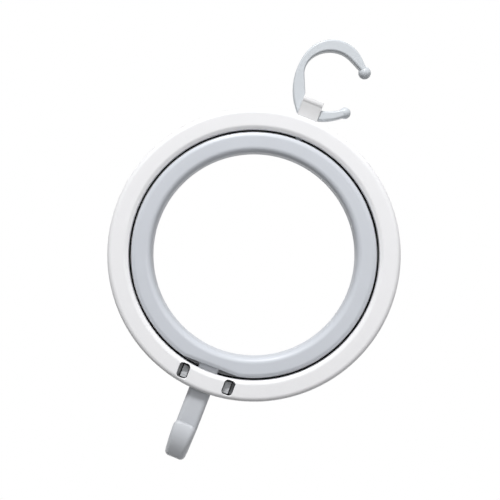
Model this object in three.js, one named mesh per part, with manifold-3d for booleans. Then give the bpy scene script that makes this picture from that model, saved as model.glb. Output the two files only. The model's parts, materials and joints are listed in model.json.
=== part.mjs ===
// A folding hat-drying hanger. Two moulded rings, one inside the other, lie flat for storage; the inner one
// turns on an upright axis, so that the two make a round frame inside a drying hat. A hook on top hangs the
// hanger on a rod and folds in its saddle, and a hook below carries the next hanger.
// Millimetres, +Z up along the turning axis, front towards -Y. The origin lies on the inside of the hanging
// hook, on the turning axis, where a rod carries the hanger.
import * as THREE from "three";
import { mergeVertices } from "three/addons/utils/BufferGeometryUtils.js";
import Module from "manifold-3d";

const wasm = await Module();
wasm.setup();

// Both rings
const ringDepth = 15; // front face to back face
const edgeRadius = 2.6; // rounding of every outer edge
const seamGap = 0.3; // between the rim of a front shell and that of its back shell
const fitGap = 0.3; // round every piece that is held between shells
const tongueThickness = 0.8; // locating tongue on the rim of a front shell
const tongueLength = 1.6;

// Outer ring: a channel that is open towards the inner ring
const outerRadius = 82.5;
const outerBand = 12; // radial width of its face
const outerWall = 2.2;
const channelSlot = 6.4; // opening between its two inner lips

// Inner ring: a closed hollow section
const ringGap = 1.5; // radial gap between the rings
const innerBand = 11.4;
const innerWall = 2;
const flatCut = 1.9; // depth of the flat on its rim, where it stands on the tail hook

// Pegs and sockets that press the two shells of a ring together
const pegCount = 6;
const pegRadius = 1.5;
const pegReach = 3.4; // how far a peg enters its socket
const bossRadius = 2.8;

// Catches beside the tail hook, and the windows in the front shell that show them
const windowSpacing = 27; // between the centres of the two windows
const windowWidth = 6.2;
const windowRimMargin = 2.4; // from a window to the rim of the ring
const windowLipMargin = 0.8; // from a window to the inner edge of the ring
const windowCorner = 2.1;
const barbInset = 1; // tip of a barb below the front face
const barbThickness = 1.8;
const barbReach = 1.2; // overlap of a barb on its ledge
const barbLead = 1.1; // drop of its sloping face
const armThickness = 1.8;
const ledgeRoot = 0.8; // ledge behind the edge of its window
const ledgeThickness = 1.8;

// Saddle that holds the bar of the hanging hook
const saddleWidth = 11.8;
const saddleWall = 1.9; // in front of and behind the bar
const saddleFloor = 1.2; // between the bar and the ring
const saddleCrown = 3.9; // above the bar
const saddleLean = 0.5; // how far each side is drawn in under its bead
const saddleBead = 1.1; // radius of the bead along either top edge
const saddleFootOverhang = 2.6; // foot beyond either side of the saddle
const saddleFootThickness = 2.4;

// Hanging hook: a bar in the saddle, a crescent whose two edges are runs of straight lengths and arcs, and a
// short prong. Heights are above the bar, and angles in degrees.
const barRadius = 3;
const barGap = 0.3;
const hookSideGap = 0.4; // between the hook and either side of its saddle
const hookThickness = 6;
const hookRounding = 1.7;
const outerStart = -3.15; // height where the outer edge leaves the saddle
const outerHeading = 134; // its direction there, anticlockwise from +X
const outerBackRadius = 33.9;
const outerBackTurn = 63;
const outerCrownRadius = 18.6;
const outerCrownTurn = 115;
const outerTipLength = 6.5;
const innerStart = 9.1; // height where the inner edge leaves the saddle
const innerHeading = 114;
const innerRiseLength = 10.2;
const innerBackRadius = 11.7;
const innerBackTurn = 55;
const innerCrownRadius = 16.3;
const innerCrownTurn = 85;
const innerTipLength = 8.3;
const upperBallRadius = 3.55;
const upperBallLead = 1.4; // centre of the ball beyond the end of the crescent
const lowerBallRadius = 3.3;
const lowerBallReach = 19; // centre of the lower ball, out from the middle of the bar
const lowerBallHeight = 6.7;
const prongBendReach = 12; // pulls the prong's middle line down
const prongBendHeight = 0.9;
const prongTipWidth = 4.4;

// Tail hook: a strip through the outer ring, curled up towards the front
const tailWidth = 12.4;
const tailThickness = 3.8;
const tailRounding = 1.75;
const tailDrop = 39.5; // from the rim of the outer ring down to the bend
const tailOpening = 9; // between strip and curl
const tailBend = 12; // height of the bend
const tailLipRise = 22.7; // from the bottom of the bend to the tip of the curl
const tailFlangeOverhang = 2.6; // flange beyond either side of the strip
const tailFlangeThickness = 2.5;
const tailNeckWidth = 11.5; // neck between the ring's lips
const tailNeckGap = 0.5; // between neck and lip, and between neck and flat
const stubRadius = 2.4; // lower pivot, on the end of the neck
const stubLength = 5.2;

// Upper pivot pin
const pinRadius = 2.1;
const pinHeadRadius = 3.6;
const pinHeadThickness = 2.5;
const pinReach = 6.4; // into the inner ring
const turnGap = 0.25; // round a pivot in the inner ring

// Blocks inside the shells that carry the pivots
const cradleWall = 2.2; // beside what a cradle holds
const socketWall = 3.6; // beside the bore of the upper pivot

// Round parts are drawn with these numbers of straight steps
const ringSteps = 56;
const roundSteps = 16;
const pegSteps = 8;
const edgeSteps = 4;
const curveSteps = 8;
const crescentSteps = 20;

// Worked out from the sizes above
const half = ringDepth / 2;
const seam = seamGap / 2;
const outerInside = outerRadius - outerBand;
const innerOuter = outerInside - ringGap;
const innerInside = innerOuter - innerBand;
const slotHalf = channelSlot / 2;
const channelRoof = outerRadius - outerWall; // inside of the outer ring's rim
const channelDepth = ringDepth - 2 * (outerWall + fitGap); // room between its two faces
const flatHeight = innerOuter - flatCut;
const midOuter = (outerRadius + outerInside) / 2;
const midInner = (innerOuter + innerInside) / 2;
const windowOffset = windowSpacing / 2;
const windowHeight = outerBand - windowRimMargin - windowLipMargin;
const windowDrop = Math.sqrt((outerRadius - windowRimMargin - windowHeight / 2) ** 2 - windowOffset ** 2);
const windowInner = windowOffset - windowWidth / 2;
const barbTop = barbInset - half;
const barbFace = barbTop + barbThickness;
const ledgeTop = barbFace + fitGap;
const ledgeEdge = windowInner + fitGap + barbReach;

const barAxis = outerRadius + saddleFloor + barGap + barRadius;
const saddleTop = barAxis + barRadius + barGap + saddleCrown;
const saddleDepth = 2 * (barRadius + barGap + saddleWall);
const saddleFootHalf = saddleWidth / 2 + saddleFootOverhang;
const saddleFootTop = Math.sqrt(channelRoof ** 2 - saddleFootHalf ** 2) - fitGap;
const saddleFootBottom = saddleFootTop - saddleFootThickness;
const hookRoot = saddleWidth / 2 + hookSideGap;
const lowerBallCentre = new THREE.Vector2(lowerBallReach, lowerBallHeight);

const pinTop = saddleFootBottom - fitGap;
const pinHeadBottom = pinTop - pinHeadThickness;
const pinBottom = innerOuter - pinReach;

const tailFlangeHalf = tailWidth / 2 + tailFlangeOverhang;
const tailFlangeBottom = -Math.sqrt(channelRoof ** 2 - tailFlangeHalf ** 2) + fitGap;
const tailFlangeTop = tailFlangeBottom + tailFlangeThickness;
const tailNeckDepth = channelSlot - 2 * tailNeckGap;
const tailNeckTop = -flatHeight - tailNeckGap;
const tailBottom = -outerRadius - tailDrop;

// A closed geometry as a solid that can be joined and cut.
function solid(geometry) {
  const bare = new THREE.BufferGeometry();
  bare.setAttribute("position", geometry.getAttribute("position"));
  bare.setIndex(geometry.index);
  const merged = mergeVertices(bare, 1e-4);
  return new wasm.Manifold(
    new wasm.Mesh({
      numProp: 3,
      vertProperties: merged.getAttribute("position").array,
      triVerts: new Uint32Array(merged.index.array),
    }),
  );
}

// A finished solid as a geometry for a mesh.
function geometryOf(body) {
  const faces = body.getMesh();
  const geometry = new THREE.BufferGeometry();
  geometry.setAttribute("position", new THREE.BufferAttribute(faces.vertProperties, 3));
  geometry.setIndex(new THREE.BufferAttribute(faces.triVerts, 1));
  geometry.computeVertexNormals();
  return geometry;
}

// A block between two corners.
function block(x0, x1, y0, y1, z0, z1) {
  const geometry = new THREE.BoxGeometry(x1 - x0, y1 - y0, z1 - z0);
  return solid(geometry.translate((x0 + x1) / 2, (y0 + y1) / 2, (z0 + z1) / 2));
}

// Round bars along each axis, between two places on it.
function barX(radius, x0, x1) {
  const geometry = new THREE.CylinderGeometry(radius, radius, x1 - x0, roundSteps);
  return solid(geometry.rotateZ(Math.PI / 2).translate((x0 + x1) / 2, 0, 0));
}

function barY(radius, place, y0, y1) {
  const geometry = new THREE.CylinderGeometry(radius, radius, y1 - y0, pegSteps);
  return solid(geometry.translate(place.x, (y0 + y1) / 2, place.y));
}

function barZ(radius, z0, z1) {
  const geometry = new THREE.CylinderGeometry(radius, radius, z1 - z0, roundSteps);
  return solid(geometry.rotateX(Math.PI / 2).translate(0, 0, (z0 + z1) / 2));
}

function ball(radius, centre) {
  const geometry = new THREE.SphereGeometry(radius, roundSteps, roundSteps / 2);
  return solid(geometry.translate(centre.x, 0, centre.y));
}

// A section of radius and height, revolved about the rings' own axis, which is Y.
function revolved(section) {
  section.closePath();
  return solid(new THREE.LatheGeometry(section.getPoints(edgeSteps / 2), ringSteps));
}

// A plain ring between two radii and two heights.
function band(inside, outside, y0, y1) {
  const section = new THREE.Path();
  section.moveTo(inside, y0);
  section.lineTo(outside, y0);
  section.lineTo(outside, y1);
  section.lineTo(inside, y1);
  return revolved(section);
}

// A bar of rounded section through stations, each from an inner to an outer point drawn in X and Z, with
// its own thickness along Y.
function lofted(stations, rounding) {
  const positions = [];
  const index = [];
  const corners = 4 * (edgeSteps + 1);
  for (const { outer, inner, thickness } of stations) {
    const width = outer.distanceTo(inner);
    const across = outer.clone().sub(inner).normalize();
    const middle = outer.clone().add(inner).multiplyScalar(0.5);
    for (const corner of roundedSection(width, thickness, Math.min(rounding, width / 2.2))) {
      positions.push(middle.x + across.x * corner.x, corner.y, middle.y + across.y * corner.x);
    }
  }
  const last = (stations.length - 1) * corners;
  for (let start = 0; start < last; start += corners) {
    for (let i = 0; i < corners; i += 1) {
      const next = (i + 1) % corners;
      index.push(start + i, start + next, start + next + corners);
      index.push(start + i, start + next + corners, start + i + corners);
    }
  }
  for (let i = 1; i < corners - 1; i += 1) {
    index.push(0, i + 1, i, last, last + i, last + i + 1);
  }
  const geometry = new THREE.BufferGeometry();
  geometry.setAttribute("position", new THREE.Float32BufferAttribute(positions, 3));
  geometry.setIndex(index);
  return geometry;
}

// An outline drawn in Y and Z, given a width along X and rounded edges.
function sideways(outline, width, rounding) {
  const points = outline.getPoints(curveSteps / 2);
  const apart = points.filter((point, i) => point.distanceTo(points.at(i - 1)) > 1e-6);
  const geometry = new THREE.ExtrudeGeometry(new THREE.Shape(apart), {
    depth: width - 2 * rounding,
    bevelThickness: rounding,
    bevelSize: rounding,
    bevelOffset: -rounding,
    bevelSegments: edgeSteps,
  });
  geometry.translate(0, 0, rounding - width / 2);
  const alongX = new THREE.Vector3(1, 0, 0);
  const alongY = new THREE.Vector3(0, 1, 0);
  const alongZ = new THREE.Vector3(0, 0, 1);
  return solid(geometry.applyMatrix4(new THREE.Matrix4().makeBasis(alongY, alongZ, alongX)));
}

// Corner points of a rounded rectangle, anticlockwise.
function roundedSection(width, height, corner) {
  const points = [];
  for (let quarter = 0; quarter < 4; quarter += 1) {
    const right = (width / 2 - corner) * (quarter % 3 === 0 ? 1 : -1);
    const top = (height / 2 - corner) * (quarter < 2 ? 1 : -1);
    for (let i = 0; i <= edgeSteps; i += 1) {
      const angle = (quarter + i / edgeSteps) * (Math.PI / 2);
      points.push(new THREE.Vector2(right + corner * Math.cos(angle), top + corner * Math.sin(angle)));
    }
  }
  return points;
}

// Centres of the pegs on the mid circle of a ring, clear of the pivots at its top and foot.
function pegPlaces(radius) {
  const places = [];
  for (let i = 0; i < pegCount; i += 1) {
    const angle = (i * 2 * Math.PI) / pegCount;
    places.push(new THREE.Vector2(radius * Math.cos(angle), radius * Math.sin(angle)));
  }
  return places;
}

function addSockets(shell, radius, room) {
  let body = shell;
  for (const place of pegPlaces(radius)) {
    body = body.add(barY(bossRadius, place, -half, -seam).intersect(room));
    body = body.subtract(barY(pegRadius + fitGap, place, -pegReach - fitGap, half));
  }
  return body;
}

function addPegs(shell, radius, room) {
  let body = shell;
  for (const place of pegPlaces(radius)) {
    body = body.add(barY(bossRadius, place, seam, half).intersect(room));
    body = body.add(barY(pegRadius, place, -pegReach, half).intersect(room));
  }
  return body;
}

// What the shells leave free for the pieces that they hold, each a fit gap larger than the piece.
function saddleRoom() {
  const foot = saddleFootHalf + fitGap;
  const side = saddleWidth / 2 + fitGap;
  const depth = channelDepth / 2 + fitGap;
  const body = saddleDepth / 2 + fitGap;
  const footRoom = block(-foot, foot, -depth, depth, pinHeadBottom - fitGap, saddleFootTop + fitGap);
  return footRoom.add(block(-side, side, -body, body, saddleFootBottom, saddleTop));
}

function pinRoom() {
  return barZ(pinRadius + fitGap, pinBottom, pinTop);
}

function tailRoom() {
  const flange = tailFlangeHalf + fitGap;
  const flangeDepth = channelDepth / 2 + fitGap;
  const side = tailWidth / 2 + fitGap;
  const strip = tailThickness / 2 + fitGap;
  const neck = tailNeckWidth / 2 + fitGap;
  const neckDepth = tailNeckDepth / 2 + fitGap;
  return block(-flange, flange, -flangeDepth, flangeDepth, tailFlangeBottom - fitGap, tailFlangeTop + fitGap)
    .add(block(-side, side, -strip, strip, tailBottom, tailFlangeTop))
    .add(block(-neck, neck, -neckDepth, neckDepth, tailFlangeBottom, tailNeckTop + tailNeckGap));
}

// Cradles that carry the upper pin and the neck of the tail hook, between two heights in the depth.
function cradles(y0, y1) {
  const pinSide = pinHeadRadius + cradleWall;
  const neckSide = tailNeckWidth / 2 + fitGap + cradleWall;
  const upper = block(-pinSide, pinSide, y0, y1, 0, pinHeadBottom - fitGap);
  const lower = block(-neckSide, neckSide, y0, y1, tailFlangeTop + fitGap, 0);
  return upper.add(lower);
}

function outerRingFront() {
  const tongue = channelRoof + tongueThickness;
  const section = new THREE.Path();
  section.moveTo(outerInside + edgeRadius, -half);
  section.lineTo(outerRadius - edgeRadius, -half);
  section.absarc(outerRadius - edgeRadius, edgeRadius - half, edgeRadius, -Math.PI / 2, 0);
  section.lineTo(outerRadius, -seam);
  section.lineTo(tongue, -seam);
  section.lineTo(tongue, tongueLength);
  section.lineTo(channelRoof, tongueLength);
  section.lineTo(channelRoof, outerWall - half);
  section.lineTo(outerInside + outerWall, outerWall - half);
  section.lineTo(outerInside + outerWall, -slotHalf);
  section.lineTo(outerInside, -slotHalf);
  section.lineTo(outerInside, edgeRadius - half);
  section.absarc(outerInside + edgeRadius, edgeRadius - half, edgeRadius, Math.PI, Math.PI * 1.5);

  const room = band(outerInside + outerWall / 2, outerRadius - outerWall / 2, -half + outerWall / 2, 0);
  let body = revolved(section);
  body = body.add(cradles(-half, -seam).intersect(room));
  body = addSockets(body, midOuter, room);
  for (const side of [-1, 1]) {
    body = body.add(catchLedge(side).intersect(room));
    body = body.subtract(windowBar(side, 0, outerWall + fitGap - half));
  }
  return body.subtract(saddleRoom()).subtract(pinRoom()).subtract(tailRoom());
}

// A window's outline, drawn in by a gap, as a bar between the front and a depth.
function windowBar(side, gap, y1) {
  const corners = roundedSection(windowWidth - 2 * gap, windowHeight - 2 * gap, windowCorner - gap);
  const outline = new THREE.Shape(corners);
  const geometry = new THREE.ExtrudeGeometry(outline, { depth: half + y1, bevelEnabled: false });
  return solid(geometry.rotateX(Math.PI / 2).translate(side * windowOffset, y1, -windowDrop));
}

function catchLedge(side) {
  const from = side * (windowInner - ledgeRoot);
  const to = side * ledgeEdge;
  const [x0, x1] = side < 0 ? [to, from] : [from, to];
  return block(x0, x1, ledgeTop, ledgeTop + ledgeThickness, -outerRadius, 0);
}

// A springy arm from the back shell, whose barb hooks over the ledge of the front shell.
function catchArm(side) {
  const near = side * (ledgeEdge + fitGap);
  const far = side * (ledgeEdge + fitGap + armThickness);
  const nose = side * (windowInner + fitGap);
  const outline = new THREE.Shape();
  outline.moveTo(far, half - outerWall / 2);
  outline.lineTo(far, barbTop);
  outline.lineTo(near, barbTop);
  outline.lineTo(nose, barbTop + barbLead);
  outline.lineTo(nose, barbFace);
  outline.lineTo(near, barbFace);
  outline.lineTo(near, half - outerWall / 2);
  const geometry = new THREE.ExtrudeGeometry(outline, { depth: outerRadius, bevelEnabled: false });
  return solid(geometry.translate(0, 0, -outerRadius));
}

function outerRingBack() {
  const rebate = channelRoof + tongueThickness + fitGap;
  const step = tongueLength + fitGap;
  const section = new THREE.Path();
  section.moveTo(rebate, seam);
  section.lineTo(outerRadius, seam);
  section.lineTo(outerRadius, half - edgeRadius);
  section.absarc(outerRadius - edgeRadius, half - edgeRadius, edgeRadius, 0, Math.PI / 2);
  section.lineTo(outerInside + edgeRadius, half);
  section.absarc(outerInside + edgeRadius, half - edgeRadius, edgeRadius, Math.PI / 2, Math.PI);
  section.lineTo(outerInside, slotHalf);
  section.lineTo(outerInside + outerWall, slotHalf);
  section.lineTo(outerInside + outerWall, half - outerWall);
  section.lineTo(channelRoof, half - outerWall);
  section.lineTo(channelRoof, step);
  section.lineTo(rebate, step);

  const room = band(outerInside + outerWall + fitGap, channelRoof - fitGap, -half, half - outerWall / 2);
  let body = revolved(section);
  body = body.add(cradles(seam, half).intersect(room));
  body = addPegs(body, midOuter, room);
  for (const side of [-1, 1]) {
    body = body.add(catchArm(side).intersect(room).intersect(windowBar(side, fitGap, half)));
  }
  return body.subtract(saddleRoom()).subtract(pinRoom()).subtract(tailRoom());
}

// Solid stretches of the inner ring that take the upper pin and, behind the flat, the lower stub.
function pivotBlocks(y0, y1) {
  const side = pinRadius + turnGap + socketWall;
  const chord = Math.sqrt(innerOuter ** 2 - flatHeight ** 2);
  return block(-side, side, y0, y1, 0, innerOuter).add(block(-chord, chord, y0, y1, -innerOuter, 0));
}

function innerRingRoom() {
  const chord = 2 * innerOuter;
  const below = block(-chord, chord, -ringDepth, ringDepth, -chord, -flatHeight);
  const pin = barZ(pinRadius + turnGap, pinBottom - fitGap, outerInside);
  const stub = barZ(stubRadius + turnGap, -outerInside, tailNeckTop + stubLength + fitGap);
  return below.add(pin).add(stub);
}

function innerRingFront() {
  const outerTongue = innerOuter - innerWall + tongueThickness;
  const innerTongue = innerInside + innerWall - tongueThickness;
  const section = new THREE.Path();
  section.moveTo(innerInside + edgeRadius, -half);
  section.lineTo(innerOuter - edgeRadius, -half);
  section.absarc(innerOuter - edgeRadius, edgeRadius - half, edgeRadius, -Math.PI / 2, 0);
  section.lineTo(innerOuter, -seam);
  section.lineTo(outerTongue, -seam);
  section.lineTo(outerTongue, tongueLength);
  section.lineTo(innerOuter - innerWall, tongueLength);
  section.lineTo(innerOuter - innerWall, innerWall - half);
  section.lineTo(innerInside + innerWall, innerWall - half);
  section.lineTo(innerInside + innerWall, tongueLength);
  section.lineTo(innerTongue, tongueLength);
  section.lineTo(innerTongue, -seam);
  section.lineTo(innerInside, -seam);
  section.lineTo(innerInside, edgeRadius - half);
  section.absarc(innerInside + edgeRadius, edgeRadius - half, edgeRadius, Math.PI, Math.PI * 1.5);

  const room = band(innerInside + innerWall / 2, innerOuter - innerWall / 2, -half + innerWall / 2, 0);
  let body = revolved(section);
  body = body.add(pivotBlocks(-half, -seam).intersect(room));
  body = addSockets(body, midInner, room);
  body = body.subtract(pivotBlocks(-seam, half));
  return body.subtract(innerRingRoom());
}

function innerRingBack() {
  const outerRebate = innerOuter - innerWall + tongueThickness + fitGap;
  const innerRebate = innerInside + innerWall - tongueThickness - fitGap;
  const step = tongueLength + fitGap;
  const section = new THREE.Path();
  section.moveTo(outerRebate, seam);
  section.lineTo(innerOuter, seam);
  section.lineTo(innerOuter, half - edgeRadius);
  section.absarc(innerOuter - edgeRadius, half - edgeRadius, edgeRadius, 0, Math.PI / 2);
  section.lineTo(innerInside + edgeRadius, half);
  section.absarc(innerInside + edgeRadius, half - edgeRadius, edgeRadius, Math.PI / 2, Math.PI);
  section.lineTo(innerInside, seam);
  section.lineTo(innerRebate, seam);
  section.lineTo(innerRebate, step);
  section.lineTo(innerInside + innerWall, step);
  section.lineTo(innerInside + innerWall, half - innerWall);
  section.lineTo(innerOuter - innerWall, half - innerWall);
  section.lineTo(innerOuter - innerWall, step);
  section.lineTo(outerRebate, step);

  const floor = half - innerWall / 2;
  const clear = band(innerInside + innerWall + fitGap, innerOuter - innerWall - fitGap, -half, floor);
  const room = band(innerInside + innerWall / 2, innerOuter - innerWall / 2, 0, floor);
  let body = revolved(section);
  body = body.add(pivotBlocks(seam, half).intersect(room));
  body = addPegs(body, midInner, clear);
  return body.subtract(innerRingRoom());
}

// The saddle: two sides drawn in under a bead along each top edge, the bore for the hook's bar and a foot
// that lies under the rim of the outer ring.
function hookSaddle() {
  const side = saddleDepth / 2;
  const bead = saddleTop - saddleBead;
  const outline = new THREE.Shape();
  outline.moveTo(-side, saddleFootBottom);
  outline.lineTo(side, saddleFootBottom);
  outline.lineTo(side, barAxis);
  outline.lineTo(side - saddleLean, bead - saddleBead);
  outline.absarc(side - saddleLean, bead, saddleBead, -Math.PI / 2, Math.PI / 2);
  outline.absarc(saddleLean - side, bead, saddleBead, Math.PI / 2, Math.PI * 1.5);
  outline.lineTo(-side, barAxis);
  outline.closePath();

  const depth = channelDepth / 2;
  const foot = block(-saddleFootHalf, saddleFootHalf, -depth, depth, saddleFootBottom, saddleFootTop);
  const bore = barX(barRadius + barGap, -saddleWidth, saddleWidth).translate(0, 0, barAxis);
  return sideways(outline, saddleWidth, saddleLean).add(foot).subtract(bore);
}

// One edge of the hanging hook, from the side of the saddle on: straight lengths, and arcs that turn to the
// right by a number of degrees.
function hookEdge(startHeight, heading, stretches) {
  const path = new THREE.Path();
  path.moveTo(-hookRoot, startHeight);
  let angle = THREE.MathUtils.degToRad(heading);
  for (const { length, radius, turn } of stretches) {
    const { x, y } = path.currentPoint;
    if (length) {
      path.lineTo(x + length * Math.cos(angle), y + length * Math.sin(angle));
    } else {
      const centreX = x + radius * Math.sin(angle);
      const centreY = y - radius * Math.cos(angle);
      const from = angle + Math.PI / 2;
      const sweep = THREE.MathUtils.degToRad(turn);
      path.absarc(centreX, centreY, radius, from, from - sweep, true);
      angle -= sweep;
    }
  }
  return path;
}

const outerEdge = hookEdge(outerStart, outerHeading, [
  { radius: outerBackRadius, turn: outerBackTurn },
  { radius: outerCrownRadius, turn: outerCrownTurn },
  { length: outerTipLength },
]);
const innerEdge = hookEdge(innerStart, innerHeading, [
  { length: innerRiseLength },
  { radius: innerBackRadius, turn: innerBackTurn },
  { radius: innerCrownRadius, turn: innerCrownTurn },
  { length: innerTipLength },
]);

// Height above the bar of the crescent's inside, on the turning axis: the place of the rod.
function rodHeight() {
  const points = innerEdge.getSpacedPoints(crescentSteps * crescentSteps);
  const beyond = points.findIndex((point) => point.x >= 0);
  const { x: x0, y: y0 } = points[beyond - 1];
  const { x: x1, y: y1 } = points[beyond];
  return THREE.MathUtils.mapLinear(0, x0, x1, y0, y1);
}

function crescent() {
  const outer = outerEdge.getSpacedPoints(crescentSteps).reverse();
  const inner = innerEdge.getSpacedPoints(crescentSteps).reverse();
  const stations = outer.map((point, i) => ({ outer: point, inner: inner[i], thickness: hookThickness }));
  const tip = outer[0].clone().add(inner[0]).multiplyScalar(0.5);
  const across = outer[0].clone().sub(inner[0]).setLength(upperBallLead);
  const tipBall = ball(upperBallRadius, new THREE.Vector2(tip.x + across.y, tip.y - across.x));
  return solid(lofted(stations, hookRounding)).add(tipBall);
}

// The short lower prong: as thick as the bar where it leaves the saddle, and narrower at its ball.
function prong() {
  const line = new THREE.QuadraticBezierCurve(
    new THREE.Vector2(hookRoot, 0),
    new THREE.Vector2(prongBendReach, prongBendHeight),
    lowerBallCentre,
  );
  const stations = [];
  for (let i = 0; i <= curveSteps; i += 1) {
    const along = i / curveSteps;
    const reach = THREE.MathUtils.lerp(barRadius, prongTipWidth / 2, along);
    const centre = line.getPoint(along);
    const tangent = line.getTangent(along);
    const normal = new THREE.Vector2(-tangent.y, tangent.x).multiplyScalar(reach);
    stations.push({
      outer: centre.clone().sub(normal),
      inner: centre.clone().add(normal),
      thickness: hookThickness,
    });
  }
  return solid(lofted(stations, hookRounding));
}

function hangingHook() {
  return barX(barRadius, -hookRoot - hookRounding, hookRoot + hookRounding)
    .add(crescent())
    .add(prong())
    .add(ball(lowerBallRadius, lowerBallCentre));
}

// The tail hook's strip, from the rounded tip of the curl down round the bend and straight up to its flange.
// It is drawn from the side, with its front to the left.
function tailStrip() {
  const tip = tailThickness / 2;
  const inside = tailOpening / 2;
  const outside = inside + tailThickness;
  const middle = tip - outside;
  const bendHeight = tailBottom + tailBend;
  const stations = [];
  const addStation = (innerX, innerZ, outerX, outerZ, thickness) => {
    const inner = new THREE.Vector2(innerX, innerZ);
    const outer = new THREE.Vector2(outerX, outerZ);
    stations.push({ inner, outer, thickness });
  };
  for (let i = edgeSteps; i >= 0; i -= 1) {
    const turn = (i / (edgeSteps + 0.5)) * (Math.PI / 2);
    const inset = tip * (1 - Math.cos(turn));
    const height = tailBottom + tailLipRise - tip * (1 - Math.sin(turn));
    addStation(middle - inside - inset, height, middle - outside + inset, height, tailWidth - 2 * inset);
  }
  for (let i = 0; i <= 2 * curveSteps; i += 1) {
    const turn = Math.PI * (1 + i / (2 * curveSteps));
    const across = Math.cos(turn);
    const drop = Math.sin(turn);
    const innerZ = bendHeight + drop * (tailBend - tailThickness);
    const outerZ = bendHeight + drop * tailBend;
    addStation(middle + across * inside, innerZ, middle + across * outside, outerZ, tailWidth);
  }
  addStation(-tip, tailFlangeTop, tip, tailFlangeTop, tailWidth);
  return solid(lofted(stations, tailRounding).rotateZ(Math.PI / 2));
}

function tailHook() {
  const flangeDepth = channelDepth / 2;
  const neck = tailNeckWidth / 2;
  const neckDepth = tailNeckDepth / 2;
  return tailStrip()
    .add(block(-tailFlangeHalf, tailFlangeHalf, -flangeDepth, flangeDepth, tailFlangeBottom, tailFlangeTop))
    .add(block(-neck, neck, -neckDepth, neckDepth, tailFlangeBottom, tailNeckTop))
    .add(barZ(stubRadius, tailFlangeBottom, tailNeckTop + stubLength));
}

function upperPivotPin() {
  return barZ(pinRadius, pinBottom, pinTop).add(barZ(pinHeadRadius, pinHeadBottom, pinTop));
}

const whitePlastic = new THREE.MeshStandardMaterial({ color: 0xf2f2f4, roughness: 0.35, metalness: 0 });
const greyPlastic = new THREE.MeshStandardMaterial({ color: 0xced3d9, roughness: 0.35, metalness: 0 });

function piece(name, body, material) {
  const mesh = new THREE.Mesh(geometryOf(body), material);
  mesh.name = name;
  return mesh;
}

const innerRing = new THREE.Group();
innerRing.add(piece("inner_ring_front", innerRingFront(), greyPlastic));
innerRing.add(piece("inner_ring_back", innerRingBack(), greyPlastic));

const outerFrame = new THREE.Group();
outerFrame.add(piece("outer_ring_front", outerRingFront(), whitePlastic));
outerFrame.add(piece("outer_ring_back", outerRingBack(), whitePlastic));
outerFrame.add(piece("hook_saddle", hookSaddle(), whitePlastic));
outerFrame.add(piece("tail_hook", tailHook(), greyPlastic));
outerFrame.add(piece("upper_pivot_pin", upperPivotPin(), greyPlastic));
outerFrame.add(innerRing);
outerFrame.position.z = -barAxis - rodHeight();

const hook = piece("hanging_hook", hangingHook(), greyPlastic);
hook.position.z = -rodHeight();

const hanger = new THREE.Group();
hanger.add(outerFrame);
hanger.add(hook);

export default hanger;
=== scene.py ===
"""Looks of a folding hat-drying hanger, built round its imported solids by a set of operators."""

import json
import math

import bmesh
import bpy
from bpy.props import FloatProperty, FloatVectorProperty, IntProperty, PointerProperty
from mathutils import Matrix, Vector


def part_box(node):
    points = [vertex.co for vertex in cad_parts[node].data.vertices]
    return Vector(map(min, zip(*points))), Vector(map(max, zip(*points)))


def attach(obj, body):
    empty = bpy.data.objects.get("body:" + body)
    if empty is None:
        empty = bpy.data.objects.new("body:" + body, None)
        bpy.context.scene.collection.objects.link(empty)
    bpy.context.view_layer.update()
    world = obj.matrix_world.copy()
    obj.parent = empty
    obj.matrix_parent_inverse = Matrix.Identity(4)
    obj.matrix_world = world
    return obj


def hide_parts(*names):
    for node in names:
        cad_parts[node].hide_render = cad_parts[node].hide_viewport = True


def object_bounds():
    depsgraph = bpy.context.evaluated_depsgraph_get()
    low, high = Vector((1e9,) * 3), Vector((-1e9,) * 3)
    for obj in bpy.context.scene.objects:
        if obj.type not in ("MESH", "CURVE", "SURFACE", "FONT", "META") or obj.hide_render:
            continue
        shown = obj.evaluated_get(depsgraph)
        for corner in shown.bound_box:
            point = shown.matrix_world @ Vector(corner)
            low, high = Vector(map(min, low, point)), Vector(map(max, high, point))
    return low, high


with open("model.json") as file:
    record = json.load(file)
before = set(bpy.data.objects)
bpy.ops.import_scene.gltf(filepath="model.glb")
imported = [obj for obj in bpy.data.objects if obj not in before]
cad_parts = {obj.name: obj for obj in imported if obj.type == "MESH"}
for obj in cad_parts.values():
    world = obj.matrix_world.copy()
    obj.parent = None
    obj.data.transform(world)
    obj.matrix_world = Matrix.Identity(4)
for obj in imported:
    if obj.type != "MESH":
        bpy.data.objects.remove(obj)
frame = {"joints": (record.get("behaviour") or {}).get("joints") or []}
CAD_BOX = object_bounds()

bl_info = {
    "name": "Folding hat hanger",
    "version": (1, 0, 0),
    "blender": (4, 5, 0),
    "location": "View3D > Sidebar > Hanger",
    "description": "Builds the moulded shells, hooks and pivots of a folding hat-drying hanger",
    "category": "Object",
}

MM = 0.001
QUARTER = math.pi / 2
PIVOTS = {joint["name"]: Vector(joint["pos_m"]) for joint in frame["joints"]}
RING_CENTRE = PIVOTS["ring_turn"]
BAR_CENTRE = PIVOTS["hook_fold"]

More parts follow.
